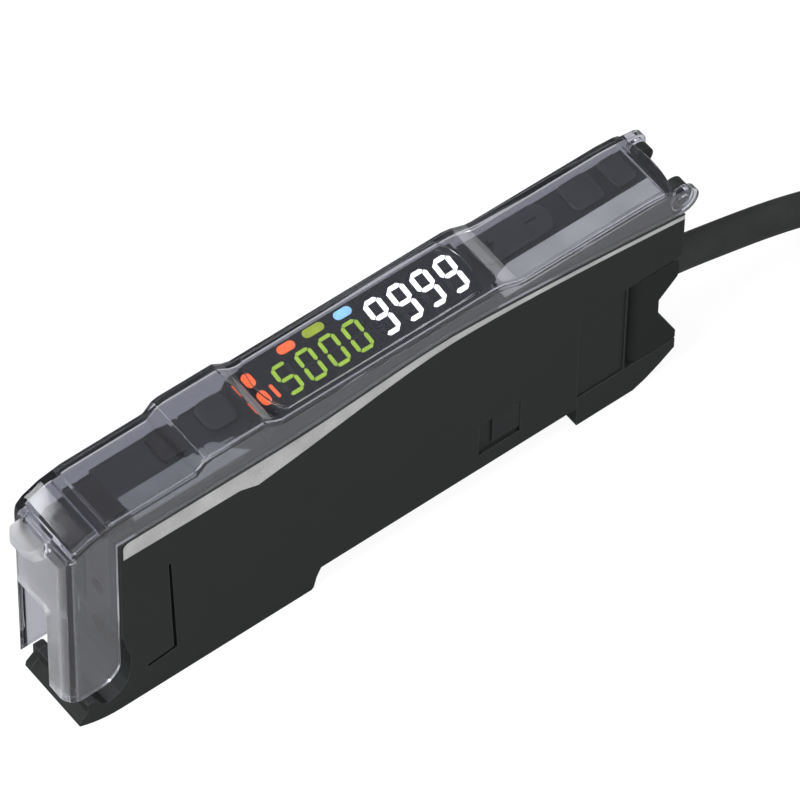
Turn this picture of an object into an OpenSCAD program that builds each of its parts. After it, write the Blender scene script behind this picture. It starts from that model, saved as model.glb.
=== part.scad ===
// Fibre optic sensor amplifier for a 35 mm rail: a slim case with a smoked swing-up cover,
// two fibre ports at the front, a lit display, keys on top and a moulded-on cable at the rear.
// Lengths are measured from the front wall of the rail notch, and the finished part is centred.

/* [Case] */
// Width of the case, cover and feet
body_w = 10; // [9:0.5:13]
// Height of the side walls at the front
case_h = 30; // [28:0.5:36]
// Reach of the case ahead of the rail notch
case_front = 26.65; // [25.65:0.5:30.65]
// Reach of the case behind the rail notch
case_rear = 14.1; // [13.6:0.1:18]
// Thickness of the moulded case walls
wall = 1; // [0.8:0.05:1.2]
// Rise of the wall's top edge beside the display
arch_rise = 1.35; // [0.6:0.05:1.8]
// Fall of the wall's top edge towards the rear
arch_fall = 2.5; // [1.5:0.1:3]
// Reach of the lip ahead of the case
lip_l = 5.9; // [5:0.1:7]
// Height of the catch ridge on the lip
lip_h = 4.5; // [3.8:0.1:4.8]

/* [Rail] */
// Width of the notch that takes the rail
rail_w = 35.4; // [35.2:0.1:36]
// Depth of the notch that takes the rail
rail_d = 3.2; // [2.8:0.1:3.6]
// Height of the sliding rail latch
latch_h = 5.1; // [4.6:0.1:5.6]
// Travel of the rail latch
latch_travel = 1.2; // [0.6:0.1:1.4]

/* [Cover] */
// Wall of the smoked cover
cover_t = 0.8; // [0.6:0.05:0.9]
// Gap between the cover and the case
cover_gap = 0.3; // [0.25:0.05:0.4]
// Height of the cover over the case at the front
cover_front_rise = 4.7; // [4.2:0.1:5.4]
// Height of the cover over the case at its hump
cover_hump_rise = 6.1; // [5.4:0.1:7]
// Height of the cover over the case at the display
cover_disp_rise = 4.7; // [4.7:0.1:5.6]
// Height of the cover over the case at the keys
cover_rear_rise = 3.4; // [3.2:0.1:4.2]
// Thickness of the raised lens over the display
lens_t = 0.35; // [0.2:0.05:0.6]
// Rounding of the cover's top edges
cover_edge = 0.6; // [0.3:0.1:0.8]
// Length of the legs that hang in front of the case
leg_l = 6.55; // [6:0.05:7.2]
// Height of the legs' lower end
leg_z0 = 6.2; // [5:0.1:7]
// Height of the top of the gap between the legs
slot_top = 20; // [20:0.5:24]
// Distance of the near leg's inner edge from the middle
slot_near = 1.4; // [1.3:0.05:2]
// Reach of the thumb tab ahead of the legs
tab_l = 2.55; // [1.5:0.05:3.5]
// Width of the thumb tab
tab_w = 4.2; // [3:0.1:5]
// Radius of the hinge pins
pin_r = 0.75; // [0.6:0.05:0.9]
// Running clearance of the hinge pins in the cover
pin_gap = 0.05; // [0.02:0.01:0.09]
// Radius of the cover's ears round the hinge
ear_r = 1.95; // [1.7:0.05:2.1]

/* [Display and keys] */
// Thickness of the display window
disp_t = 0.7; // [0.5:0.05:0.8]
// Pitch of the digits
digit_pitch = 3.1; // [2.9:0.02:3.2]
// Height of the large digits
big_h = 4.63; // [3.8:0.05:4.9]
// Height of the small digits
small_h = 3.85; // [3:0.05:4.2]
// Width of a digit
digit_w = 1.75; // [1.5:0.05:1.9]
// Stroke of the large digits
big_stroke = 0.58; // [0.4:0.02:0.66]
// Stroke of the small digits
small_stroke = 0.44; // [0.3:0.02:0.56]
// Height of the key caps over the panel
key_rise = 0.8; // [0.6:0.05:0.9]
// Travel of the push keys
key_travel = 0.25; // [0.15:0.01:0.28]
// Length of the rocker key
rocker_l = 10.2; // [8:0.2:10.6]
// Width of the keys across the panel
key_w = 4; // [3.2:0.1:4.1]
// Clearance of the keys in their holes
key_gap = 0.15; // [0.12:0.01:0.2]

/* [Fibre ports] */
// Radius of the two fibre bores
fibre_r = 1.1; // [0.9:0.05:1.2]
// Depth of the fibre bores
fibre_depth = 11; // [9:0.25:12]
// Height of the lower fibre bore
fibre_z = 10.6; // [10:0.1:11]
// Distance between the fibre bores
fibre_pitch = 7; // [6:0.1:7.4]
// Lift of the fibre lock
lock_lift = 1.2; // [0.8:0.1:1.4]

/* [Cable] */
// Diameter of the cable
cable_d = 4; // [3.6:0.1:4.4]
// Height of the cable where it leaves the case
cable_z = 13; // [12.6:0.1:13.4]
// Diameter of one stripped core
core_d = 1.1; // [0.8:0.1:1.2]

/* [Hidden] */
$fn = 48;

// Half widths from the outside in
half = body_w / 2;
cav_half = half - wall;
panel_half = cav_half - 0.05;
cover_in = half - cover_t;

// Stations along the length
front_x = -case_front;
rear_x = rail_w + case_rear;
cav_x0 = front_x + 2.45;
hinge_x = rear_x - 0.2;
hinge_z = case_h - arch_fall + cover_gap + ear_r + 0.05;
leg_x0 = front_x - 0.3 - leg_l;
leg_x1 = front_x - 0.3;
tab_x = leg_x0 - tab_l;
tab_y = tab_w / 2 - slot_near;
mid_x = (tab_x + hinge_x + ear_r) / 2;
bush_x0 = rail_w + 6.55;
bush_z1 = 20.1;
seam = 0.3;
lamp_room = 4.6;
group_gap = 0.55;
end_room = 2.55;
disp_l = lamp_room + 7 * digit_pitch + group_gap + end_room;
disp_x1 = rear_x - 25.9;
disp_x0 = disp_x1 - disp_l;

// Levels of the top panel and of what it carries
panel_z0 = case_h - arch_fall - 0.1;
panel_front_z = case_h + 1.4;
panel_disp_z = case_h + 2.9;
panel_rear_z = case_h + 0.9;
panel_skin = 1;
board_t = 0.6;
switch_z = panel_z0 + board_t;

// Heights of the side wall's top edge: level, a rise to the display, a long fall to the rear
arch_x0 = front_x + 21.65;
arch_x1 = disp_x1 - 6.6;
function ease(t) = t * t * (3 - 2 * t);
function top_z(x) = x <= arch_x0 ? case_h
  : x <= arch_x1 ? case_h + arch_rise * ease((x - arch_x0) / (arch_x1 - arch_x0))
  : case_h + arch_rise - (arch_rise + arch_fall) * pow((x - arch_x1) / (rear_x - arch_x1), 1.27);
top_steps = 22;
arch_xs = [for (i = [0:top_steps]) arch_x0 + (rear_x - arch_x0) * i / top_steps];

// Draws a side view outline as a slab between two depths
module slab(y0, y1) {
  translate([0, y1, 0]) rotate([90, 0, 0]) linear_extrude(y1 - y0) children();
}

// A rounded rectangle in plan
module round_rect(l, w, r) {
  square([l - 2 * r, w], center = true);
  square([l, w - 2 * r], center = true);
  for (sx = [-1, 1])
    for (sy = [-1, 1])
      translate([sx * (l / 2 - r), sy * (w / 2 - r)]) circle(r);
}

// Side outline of the case with its lip, foot and rail notch
lip_x0 = front_x - lip_l;
lip_bend = 5.6;
module case_outline() {
  polygon(concat(
    [for (i = [0:6]) [lip_x0 + lip_bend * i / 6, 1.4 * pow(1 - i / 6, 2)]],
    [[-1.3, 0], [-1, 0.3], [-0.62, rail_d - 1.3], [0, rail_d], [rail_w, rail_d]],
    [[rail_w, latch_h + seam], [bush_x0, latch_h + seam], [bush_x0, bush_z1], [rear_x, bush_z1]],
    [for (i = [0:top_steps]) [arch_xs[top_steps - i], top_z(arch_xs[top_steps - i])]],
    [[front_x + 0.4, case_h], [front_x, case_h - 0.4], [front_x, 13.2], [front_x + 0.5, 11]],
    [[front_x + 1.05, 8.9], [front_x + 1.05, 6.4], [front_x + 0.5, 4.4], [front_x - 0.5, 3.2]],
    [[front_x - 2.1, 2.6], [front_x - 3, 3.2], [front_x - 3.35, lip_h - 0.3]],
    [[front_x - 3.7, lip_h], [front_x - lip_l + 1.1, lip_h], [front_x - lip_l + 1.1, 3]],
    [[lip_x0 + 0.1, 2.1]]));
}

// Room inside the case for the boards and the fibre block, open at the top
floor_z = max(rail_d, 3) + 1.4;
cav_rear_x = bush_x0 - 1.4;
module case_room() {
  polygon([[cav_x0, floor_z], [rail_w - 2.4, floor_z], [rail_w - 2.4, latch_h + 2.1],
    [cav_rear_x, latch_h + 2.1], [cav_rear_x, bush_z1 + 1.3], [rear_x - 1.2, bush_z1 + 1.3],
    [rear_x - 1.2, case_h + 9], [cav_x0, case_h + 9]]);
}

// Outline of the silver band under the cover
band_x0 = front_x + 0.45;
band_kink = front_x + 15.8;
function band_low(x) = x <= band_kink ? case_h - 2.9 - 0.3 * (x - band_x0) / (band_kink - band_x0)
  : x <= band_kink + 2.4 ? case_h - 3.2 - 0.95 * (x - band_kink) / 2.4
  : top_z(x) - 0.9 - 3.25 * pow(max(0, 1 - (x - band_kink - 2.4) / (rear_x - band_kink - 2.4)), 3.2);
band_steps = 20;
band_xs = [for (i = [0:band_steps]) band_kink + 2.4 + (rear_x - band_kink - 2.4) * i / band_steps];
band_rim = 0.22;
band_t = 0.45;
module band_outline() {
  polygon(concat(
    [[band_x0, band_low(band_x0)], [band_kink, band_low(band_kink)]],
    [for (x = band_xs) [x, band_low(x)]],
    [for (i = [0:top_steps]) [arch_xs[top_steps - i], top_z(arch_xs[top_steps - i]) - band_rim]],
    [[band_x0 + 0.7, case_h - band_rim], [band_x0 + 0.2, case_h - band_rim - 0.25]],
    [[band_x0, case_h - band_rim - 0.7]]));
}

// Outlines sunk into both side faces: the rear field, the light port and the depth mark
port_x = rail_w - 13.8;
port_z = rail_d + 2.6;
port_l = 5.7;
port_h = 5.6;
field_d = 0.15;
port_d = 0.3;
mark_d = 0.2;
mark_x = front_x + 6.25;
module rear_field() {
  translate([rail_w - 0.1, latch_h + seam]) square([bush_x0 - rail_w - 0.15, bush_z1 - latch_h - 0.35]);
}
module port_outline() {
  translate([port_x, port_z]) square([port_l, port_h]);
}
module port_pane_outline() {
  translate([port_x + 1.8, port_z + 1]) square([port_l - 1.8, port_h - 1]);
}
module depth_mark() {
  polygon([[mark_x, case_h - 8.7], [mark_x + 0.35, case_h - 8.7], [mark_x + 0.95, 5.2],
    [mark_x - 3, 4.7], [mark_x - 3, 5.15], [mark_x + 0.5, 5.6]]);
}

// Slot in the front wall, filled by the nose of the fibre block and, above it, by the tongue of the visor
nose_half = 2.2;
nose_z0 = fibre_z - 2.1;
nose_z1 = fibre_z + fibre_pitch + 2.4;
fit = 0.1;
ledge_w = 1.4;
lug_y0 = half - 2.6;
lug_y1 = half - cover_t - 0.65;
lug_r = 1.5;
side_gap = 0.25;
tee_x0 = rail_w + 1.5;
tee_l = 3.4;
tee_neck = 1.5;
tee_head = 2.4;
tee_t = 0.5;
plug_half = 2.5;
plug_h = 6;

module hinge_lug(y0, y1) {
  slab(y0, y1) {
    translate([hinge_x, hinge_z]) circle(lug_r);
    polygon([[rear_x - 1.2, bush_z1 + 3], [rear_x, bush_z1 + 3], [rear_x, panel_z0],
      [hinge_x + lug_r, hinge_z], [hinge_x - lug_r, hinge_z],
      [rear_x - 1.9, panel_z0 - 0.3], [rear_x - 1.2, panel_z0 - 1.5]]);
  }
}

module pin(side) {
  translate([hinge_x, side * lug_y1, hinge_z])
    rotate([-90 * side, 0, 0])
      translate([0, 0, -0.3])
        cylinder(h = pin_l + 0.3, r = pin_r);
}
pin_l = half - lug_y1 - 0.5;

module case_body() {
  color([0.18, 0.19, 0.19])
  translate([-mid_x, 0, 0])
  difference() {
    union() {
      difference() {
        slab(-half, cav_half) case_outline();
        slab(-cav_half, half + 1) case_room();
      }
      slab(-cav_half - 0.1, -cav_half + ledge_w)
        translate([cav_x0 - 0.1, panel_z0 - 0.8])
          square([rear_x - 1 - cav_x0, 0.8]);
      hinge_lug(lug_y0, lug_y1);
      hinge_lug(-lug_y1, -lug_y0);
      pin(1);
      pin(-1);
    }
    slab(-half - 1, -half + band_t) band_outline();
    slab(-half - 1, -half + field_d) rear_field();
    slab(-half - 1, -half + port_d) port_outline();
    slab(-half - 1, -half + mark_d) depth_mark();
    translate([front_x - 1, -nose_half - fit, nose_z0 - fit])
      cube([cav_x0 - front_x + 1.5, 2 * (nose_half + fit), case_h]);
    tee_slot();
    translate([cav_rear_x - 1, -plug_half - fit, cable_z - plug_h / 2 - fit])
      cube([bush_x0 - cav_rear_x + 2, 2 * (plug_half + fit), plug_h + 2 * fit]);
    slab(-lug_y0 + 0.1, lug_y0 - 0.1)
      translate([rear_x - 3, case_h - arch_fall]) square([4, 6]);
  }
}

module tee_slot() {
  neck_z = latch_h + seam;
  translate([tee_x0 - 0.3, -tee_neck - key_gap, neck_z - 0.5])
    cube([tee_l + latch_travel + 0.6, 2 * (tee_neck + key_gap), 1.2]);
  translate([tee_x0 - 0.3, -tee_head - key_gap, neck_z + 0.4])
    cube([tee_l + latch_travel + 0.6, 2 * (tee_head + key_gap), tee_t + 0.3]);
}

module side_cover() {
  color([0.18, 0.19, 0.19])
  translate([-mid_x, 0, 0])
  difference() {
    slab(cav_half, half) case_outline();
    slab(half - band_t, half + 1) band_outline();
    slab(half - field_d, half + 1) rear_field();
    slab(half - port_d, half + 1) port_outline();
  }
}

module trim_band_near() {
  color([0.68, 0.69, 0.7])
  translate([-mid_x, 0, 0])
    slab(-half, -half + band_t) band_outline();
}

module trim_band_far() {
  color([0.68, 0.69, 0.7])
  translate([-mid_x, 0, 0])
    slab(half - band_t, half) band_outline();
}

module port_window_near() {
  color([0.1, 0.1, 0.12])
  translate([-mid_x, 0, 0])
    slab(-half + 0.08, -half + port_d) port_pane_outline();
}

module port_window_far() {
  color([0.1, 0.1, 0.12])
  translate([-mid_x, 0, 0])
    slab(half - port_d, half - 0.08) port_pane_outline();
}

// Plan shapes on the top panel
bow = 1.2;
key_step = 1.2;
foot_t = 0.4;
foot_catch = 0.4;
pivot_r = 0.4;
rocker_z = panel_rear_z - panel_skin - foot_t;
module disp_plan(l, w) {
  intersection() {
    square([l, w], center = true);
    union() {
      square([l - 2 * bow, w], center = true);
      for (s = [-1, 1])
        translate([s * (l / 2 - (w * w / 4 + bow * bow) / (2 * bow)), 0])
          intersection() {
            circle((w * w / 4 + bow * bow) / (2 * bow), $fn = 96);
            translate([s * w * 3, 0]) square([w * 6, w], center = true);
          }
    }
  }
}
disp_mid = (disp_x0 + disp_x1) / 2;
disp_w = 2 * panel_half - 0.4;

// Places of the keys on the panel
key_y = panel_half - 0.35 - key_w / 2;
rocker_x = rear_x - 19;
mode_x = rear_x - 9.4;
mode_l = 4;
contact_x = rear_x - 4.5;
contact_l = 2.8;
tune_x = disp_x0 - 3.4;
tune_l = 3.8;
strip_y0 = -panel_half + 0.3;
strip_y1 = key_y - key_w / 2 - 0.55;
strip_t = 0.25;
lock_x0 = disp_x0 - 11.55;
lock_l = 3.1;
lock_y = key_y - 0.05;
stem_l = 1.6;
stem_w = 2;
panel_x1 = rear_x - 2.1;

module panel_outline(drop, in0) {
  polygon([[cav_x0 + 0.1 + in0, panel_z0 - (in0 > 0 ? 1 : 0)],
    [panel_x1 - in0, panel_z0 - (in0 > 0 ? 1 : 0)],
    [panel_x1 - in0, panel_rear_z - drop], [disp_x1 + 0.9 - in0, panel_rear_z - drop],
    [disp_x1 + 0.3 - in0, panel_disp_z - drop], [disp_x0 - 0.3 + in0, panel_disp_z - drop],
    [disp_x0 - 0.9 + in0, panel_front_z - drop], [cav_x0 + 0.1 + in0, panel_front_z - drop]]);
}

module key_hole(x, l) {
  translate([x, key_y, panel_z0])
    linear_extrude(20) round_rect(l - key_step + 2 * key_gap, key_w - key_step + 2 * key_gap, 0.5);
}

module top_panel() {
  color([0.16, 0.17, 0.18])
  translate([-mid_x, 0, 0])
  difference() {
    slab(-panel_half, panel_half) panel_outline(0, 0);
    slab(-panel_half + 0.8, panel_half - 0.8) panel_outline(panel_skin, 0.8);
    key_hole(rocker_x, rocker_l);
    key_hole(mode_x, mode_l);
    key_hole(contact_x, contact_l);
    key_hole(tune_x, tune_l);
    translate([lock_x0 + lock_l / 2, lock_y, panel_z0 - 1]) linear_extrude(20)
      square([stem_l + 2 * key_gap, stem_w + 2 * key_gap], center = true);
  }
}

// Black visor over the fibre ports, on the front end of the panel, with its tongue in the slot
hood_x0 = leg_x0 + cover_t + 0.6;
hood_half = 2.9;
module front_hood() {
  color([0.05, 0.05, 0.06])
  translate([-mid_x, 0, 0]) {
    hood();
    translate([front_x + 0.15, -nose_half, nose_z1 + 0.1])
      cube([cav_x0 - front_x - 0.2, 2 * nose_half, case_h + 0.5 - nose_z1]);
  }
}

module hood() {
  intersection() {
    slab(-half, half)
      polygon([[cav_x0 + 0.1, case_h + 0.3], [hood_x0 + 0.4, case_h + 0.3], [hood_x0, case_h + 0.7],
        [hood_x0 + 0.5, case_h + 1.2], [hood_x0 + 2, panel_front_z], [cav_x0 + 0.1, panel_front_z]]);
    union() {
      translate([hood_x0 + 2.2, -hood_half, 0])
        cube([cav_x0 + 0.1 - hood_x0 - 2.2, 2 * hood_half, case_h + 9]);
      translate([hood_x0, -hood_half + 2.2, 0]) cube([5, 2 * hood_half - 4.4, case_h + 9]);
      for (s = [-1, 1])
        translate([hood_x0 + 2.2, s * (hood_half - 2.2), 0]) cylinder(h = case_h + 9, r = 2.2);
    }
  }
}

module label_strip_front() {
  color([0.56, 0.58, 0.6])
  translate([-mid_x, 0, panel_front_z])
    linear_extrude(strip_t)
      polygon([[cav_x0 + 0.3, strip_y0], [disp_x0 - 3, strip_y0], [disp_x0 - 6, strip_y1],
        [cav_x0 + 0.3, strip_y1]]);
}

module label_strip_rear() {
  color([0.56, 0.58, 0.6])
  translate([-mid_x, 0, panel_rear_z])
    linear_extrude(strip_t)
      polygon([[disp_x1 + 1.6, strip_y0], [panel_x1 - 0.2, strip_y0], [panel_x1 - 0.2, strip_y1],
        [disp_x1 + 4.4, strip_y1], [disp_x1 + 2.6, strip_y1 - 0.5], [disp_x1 + 1.6, strip_y1 - 1.4]]);
}

module display_window() {
  color([0.07, 0.07, 0.08])
  translate([disp_mid - mid_x, 0, panel_disp_z])
    linear_extrude(disp_t)
      disp_plan(disp_l, disp_w);
}

module display_block() {
  color([0.9, 0.9, 0.88])
  translate([disp_x0 + 1.2 - mid_x, -panel_half + 1.1, panel_rear_z])
    cube([disp_l - 2.4, 2 * panel_half - 2.2, panel_disp_z - panel_skin - panel_rear_z]);
}

// Seven bars of one digit: each is a bar with pointed ends, sheared to the right
lean = 0.078;
glow_t = 0.08;
bar_gap = 0.07;
module bar_shape(l, s) {
  polygon([[-l / 2, 0], [-l / 2 + s / 2, s / 2], [l / 2 - s / 2, s / 2], [l / 2, 0],
    [l / 2 - s / 2, -s / 2], [-l / 2 + s / 2, -s / 2]]);
}
module digit(h, w, s) {
  multmatrix([[1, lean, 0, 0], [0, 1, 0, 0], [0, 0, 1, 0], [0, 0, 0, 1]])
    linear_extrude(glow_t) {
      for (k = [-1, 0, 1])
        translate([0, k * h / 2]) bar_shape(w - 2 * bar_gap, s);
      for (sx = [-1, 1])
        for (sy = [-1, 1])
          translate([sx * w / 2, sy * h / 4]) rotate(90) bar_shape(h / 2 - 2 * bar_gap, s);
    }
}
glow_z = panel_disp_z + disp_t;
big_x = disp_x1 - end_room - 3 * digit_pitch;
big_y = 0;
small_x = disp_x0 + lamp_room;
small_y = -0.5;

module big_digits() {
  color([1, 1, 1])
  for (i = [0:3])
    translate([big_x + i * digit_pitch - mid_x, big_y, glow_z]) digit(big_h, digit_w, big_stroke);
}

module small_digits() {
  color([0.47, 0.72, 0.25])
  for (i = [0:3])
    translate([small_x + i * digit_pitch - mid_x, small_y, glow_z]) digit(small_h, digit_w, small_stroke);
}

// Lamps in the display: two output lamps, a bar and three mode lamps
module lamp(x, y, l, w) {
  translate([x - mid_x, y, glow_z]) linear_extrude(glow_t) round_rect(l, w, min(l, w) / 2 - 0.01);
}
lamp_x = disp_x0 + 1.05;
lamp_y = 2.85;
lamp_l = 0.71 * digit_pitch;
lamp_w = 1.15;
module output_lamps() {
  color([1, 0.4, 0.2]) {
    lamp(lamp_x, 1.8, 1.3, 2);
    lamp(lamp_x, -1, 1.3, 2);
  }
}
module bar_lamp() {
  color([1, 0.5, 0.15]) lamp(lamp_x + 1.5, -1, 0.38, 1.9);
}
module mode_lamp() {
  color([1, 0.38, 0.2]) lamp(small_x + 0.74 * digit_pitch, lamp_y, lamp_l, lamp_w);
}
module power_lamp() {
  color([0.63, 0.75, 0.16]) lamp(small_x + 1.93 * digit_pitch, lamp_y + 0.1, lamp_l * 1.22, lamp_w);
}
module status_lamp() {
  color([0.5, 0.74, 0.98]) lamp(small_x + 3.17 * digit_pitch, lamp_y, lamp_l, lamp_w);
}

// Keys: a cap over the panel, a stem through it and a foot below that keeps the key in
module key(x, l, panel_z, cap_r, foot_l) {
  cap_z = panel_z + key_travel + 0.1;
  translate([x - mid_x, key_y, 0]) {
    translate([0, 0, cap_z])
      linear_extrude(key_rise - key_travel - 0.1) round_rect(l, key_w, cap_r);
    translate([0, 0, panel_z - panel_skin - foot_t])
      linear_extrude(panel_skin + foot_t + key_travel + 0.2)
        round_rect(l - key_step, key_w - key_step, 0.4);
    translate([0, -foot_catch / 2, panel_z - panel_skin - foot_t])
      linear_extrude(foot_t - 0.1) round_rect(foot_l, key_w - key_step + foot_catch, 0.3);
  }
}

module rocker_key() {
  color([0.26, 0.27, 0.28])
  difference() {
    union() {
      key(rocker_x, rocker_l, panel_rear_z, 1.6, 2.4);
      translate([rocker_x - mid_x, key_y, rocker_z])
        rotate([90, 0, 0]) cylinder(h = key_w - key_step, r = pivot_r, center = true);
    }
    for (s = [-1, 1])
      translate([rocker_x + s * 2.85 - mid_x, key_y + 0.2, panel_rear_z + key_rise - 0.12]) {
        translate([-0.75, -0.16, 0]) cube([1.5, 0.32, 1]);
        if (s < 0)
          translate([-0.16, -0.75, 0]) cube([0.32, 1.5, 1]);
      }
  }
}

module mode_key() {
  color([0.26, 0.27, 0.28]) key(mode_x, mode_l, panel_rear_z, 0.7, mode_l - 0.5);
}

module contact_key() {
  color([0.26, 0.27, 0.28]) key(contact_x, contact_l, panel_rear_z, 0.7, contact_l - 0.5);
}

module tune_key() {
  color([0.3, 0.31, 0.32]) key(tune_x, tune_l, panel_front_z, 1.2, tune_l - 0.5);
}

// Inner board under the panel with one switch under each key
board_y0 = -panel_half + 0.95;
module key_board() {
  color([0.1, 0.3, 0.16])
  translate([disp_x0 - 7 - mid_x, board_y0, panel_z0])
    cube([panel_x1 - 1 - disp_x0 + 7, -2 * board_y0, board_t]);
}

module switch_block(x, panel_z) {
  translate([x - mid_x - 0.6, key_y - 0.6, switch_z])
    cube([1.2, 1.2, panel_z - panel_skin - foot_t - key_travel - 0.1 - switch_z]);
}

module key_switches() {
  color([0.75, 0.75, 0.72]) {
    switch_block(rocker_x - 3, panel_rear_z);
    switch_block(rocker_x + 3, panel_rear_z);
    translate([rocker_x - mid_x - pivot_r, key_y - 1.2, switch_z])
      cube([2 * pivot_r, 2.4, rocker_z - pivot_r - 0.05 - switch_z]);
    switch_block(mode_x, panel_rear_z);
    switch_block(contact_x, panel_rear_z);
    switch_block(tune_x, panel_front_z);
  }
}

// Main board standing in the case, with its chips
main_y = 0.4;
main_t = 1;
main_x0 = front_x + 17;
module main_board() {
  color([0.1, 0.3, 0.16])
  translate([main_x0 - mid_x, main_y, floor_z])
    cube([rail_w - 3.4 - main_x0, main_t, panel_z0 - floor_z]);
}

module board_chips() {
  color([0.12, 0.12, 0.13])
  translate([main_x0 - mid_x, main_y - 1.2, floor_z]) {
    translate([3, 0, 10]) cube([8, 1.2, 8]);
    translate([15, 0, 4]) cube([5, 1.2, 4]);
    translate([18, 0, 12]) cube([12, 1.2, 6]);
  }
}

// Fibre block behind the front wall
block_half = cav_half - 0.3;
block_x1 = front_x + 0.15 + fibre_depth + 2.6;
can_r = 1.5;
module fibre_block() {
  color([0.1, 0.1, 0.11])
  translate([-mid_x, 0, 0])
  difference() {
    union() {
      translate([cav_x0, -block_half, floor_z])
        cube([block_x1 - cav_x0, 2 * block_half, nose_z1 - floor_z]);
      translate([front_x + 0.15, -nose_half, nose_z0])
        cube([cav_x0 - front_x, 2 * nose_half, nose_z1 - nose_z0]);
    }
    for (k = [0, 1])
      translate([front_x - 1, 0, fibre_z + k * fibre_pitch]) rotate([0, 90, 0]) {
        cylinder(h = fibre_depth + 2, r = fibre_r);
        translate([0, 0, fibre_depth + 1.15]) cylinder(h = 9, r = can_r);
      }
  }
}

module can(k) {
  translate([front_x + 0.15 + fibre_depth - mid_x, 0, fibre_z + k * fibre_pitch]) rotate([0, 90, 0])
    cylinder(h = 3.4, r = can_r);
}
module light_emitter() {
  color([0.9, 0.9, 0.95]) can(0);
}
module light_receiver() {
  color([0.3, 0.25, 0.3]) can(1);
}

// Lock that lifts to free the fibres: a cap on the panel, a stem down to the fibre block and a
// collar that stops the lift against the panel
collar_t = 0.6;
module fibre_lock() {
  color([0.08, 0.08, 0.09])
  translate([lock_x0 + lock_l / 2 - mid_x, lock_y, 0]) {
    translate([0, 0, panel_front_z + 0.05]) linear_extrude(0.75) round_rect(lock_l, key_w, 0.5);
    translate([-stem_l / 2, -stem_w / 2, nose_z1 + 0.1])
      cube([stem_l, stem_w, panel_front_z + 0.3 - nose_z1]);
    translate([-stem_l / 2 - 0.5, -stem_w / 2 - 0.5, panel_front_z - panel_skin - lock_lift - 0.1 - collar_t])
      cube([stem_l + 1, stem_w + 1, collar_t]);
  }
}

// Smoked cover: stations of its roof from the front slope to the rear end
roof = [[leg_x0 - 0.35, 0.9], [leg_x0 + 0.35, 2.1], [leg_x0 + 1.4, 3.15], [leg_x0 + 3.6, 4.15],
  [front_x - 0.4, cover_front_rise - 0.05], [disp_x0 - 10.6, cover_front_rise],
  [disp_x0 - 9.4, cover_hump_rise - 0.2], [disp_x0 - 8.6, cover_hump_rise],
  [disp_x0 - 1.5, cover_hump_rise - 0.05], [disp_x0 - 0.2, cover_disp_rise + 0.4],
  [disp_x0 + 0.8, cover_disp_rise], [disp_x1 - 0.2, cover_disp_rise],
  [disp_x1 + 1, cover_disp_rise - 0.25], [disp_x1 + 3, cover_rear_rise + 0.15],
  [disp_x1 + 4, cover_rear_rise], [rear_x - 5, cover_rear_rise - 0.1],
  [rear_x - 2.6, cover_rear_rise - 0.35], [rear_x - 0.85, cover_rear_rise - 0.95]];
function low_z(x) = top_z(max(front_x, min(x, rear_x))) + cover_gap;
function ring(x, z, h, e, b) = [[x, -h, b], [x, -h, z - e], [x, -h + 0.3 * e, z - 0.3 * e],
  [x, -h + e, z], [x, h - e, z], [x, h - 0.3 * e, z - 0.3 * e], [x, h, z - e], [x, h, b]];

module loft(rings) {
  n = len(rings);
  pts = [for (r = rings) each r];
  sides = [for (i = [0:n - 2]) for (j = [0:7])
    [i * 8 + j, i * 8 + (j + 1) % 8, (i + 1) * 8 + (j + 1) % 8, (i + 1) * 8 + j]];
  polyhedron(points = pts, faces = concat(sides, [[7, 6, 5, 4, 3, 2, 1, 0]],
    [[for (j = [0:7]) (n - 1) * 8 + j]]), convexity = 8);
}

// Stations between the roof's own, so that the skirt follows the arched wall
function between(a, b, k) = [for (i = [0:k - 1]) a + (b - a) * i / k];
roof_fine = [for (i = [0:len(roof) - 2]) each between(roof[i], roof[i + 1],
  roof[i + 1][0] - roof[i][0] > 6 ? 5 : 1)];
roof_all = concat(roof_fine, [roof[len(roof) - 1]]);

// Stations of the room under the roof, between the front wall and the rear end wall
room_x0 = leg_x0 - 0.35 + cover_t;
room_x1 = rear_x - 2.6;
room_all = concat([[room_x0, lookup(room_x0, roof)]],
  [for (p = roof_all) if (p[0] > room_x0 + 0.1 && p[0] < room_x1 - 0.1) p],
  [[room_x1, lookup(room_x1, roof)]]);

leg_r = 1.7;
rear_bow = 12;
module cover_plan() {
  translate([leg_x0 - 0.35, -half + leg_r]) square([20, 2 * (half - leg_r)]);
  translate([leg_x0 - 0.35 + leg_r, -half]) square([rear_x - 5 - leg_x0 - leg_r, 2 * half]);
  for (s = [-1, 1])
    translate([leg_x0 - 0.35 + leg_r, s * (half - leg_r)]) circle(leg_r);
  intersection() {
    translate([rear_x - 6, -half]) square([10, 2 * half]);
    translate([rear_x - 0.85 - rear_bow, 0]) circle(rear_bow, $fn = 128);
  }
}

module leg_side(x0, z0) {
  r = 2.6;
  translate([x0, z0]) square([leg_x1 - r - x0, case_h + 1 - z0]);
  translate([x0, z0 + r]) square([leg_x1 - x0, case_h + 1 - z0 - r]);
  translate([leg_x1 - r, z0 + r]) circle(r);
}

module ear_side() {
  translate([hinge_x, hinge_z]) circle(ear_r);
  polygon([[rear_x - 5, low_z(rear_x - 5)], [hinge_x, hinge_z - ear_r], [hinge_x + ear_r / 2, hinge_z],
    [hinge_x, hinge_z + ear_r], [rear_x - 3.5, case_h + cover_rear_rise - cover_edge - 0.4],
    [rear_x - 5, case_h + cover_rear_rise - cover_edge - 0.4]]);
}

module hinge_boss() {
  translate([hinge_x, hinge_z]) circle(lug_r);
}

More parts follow.
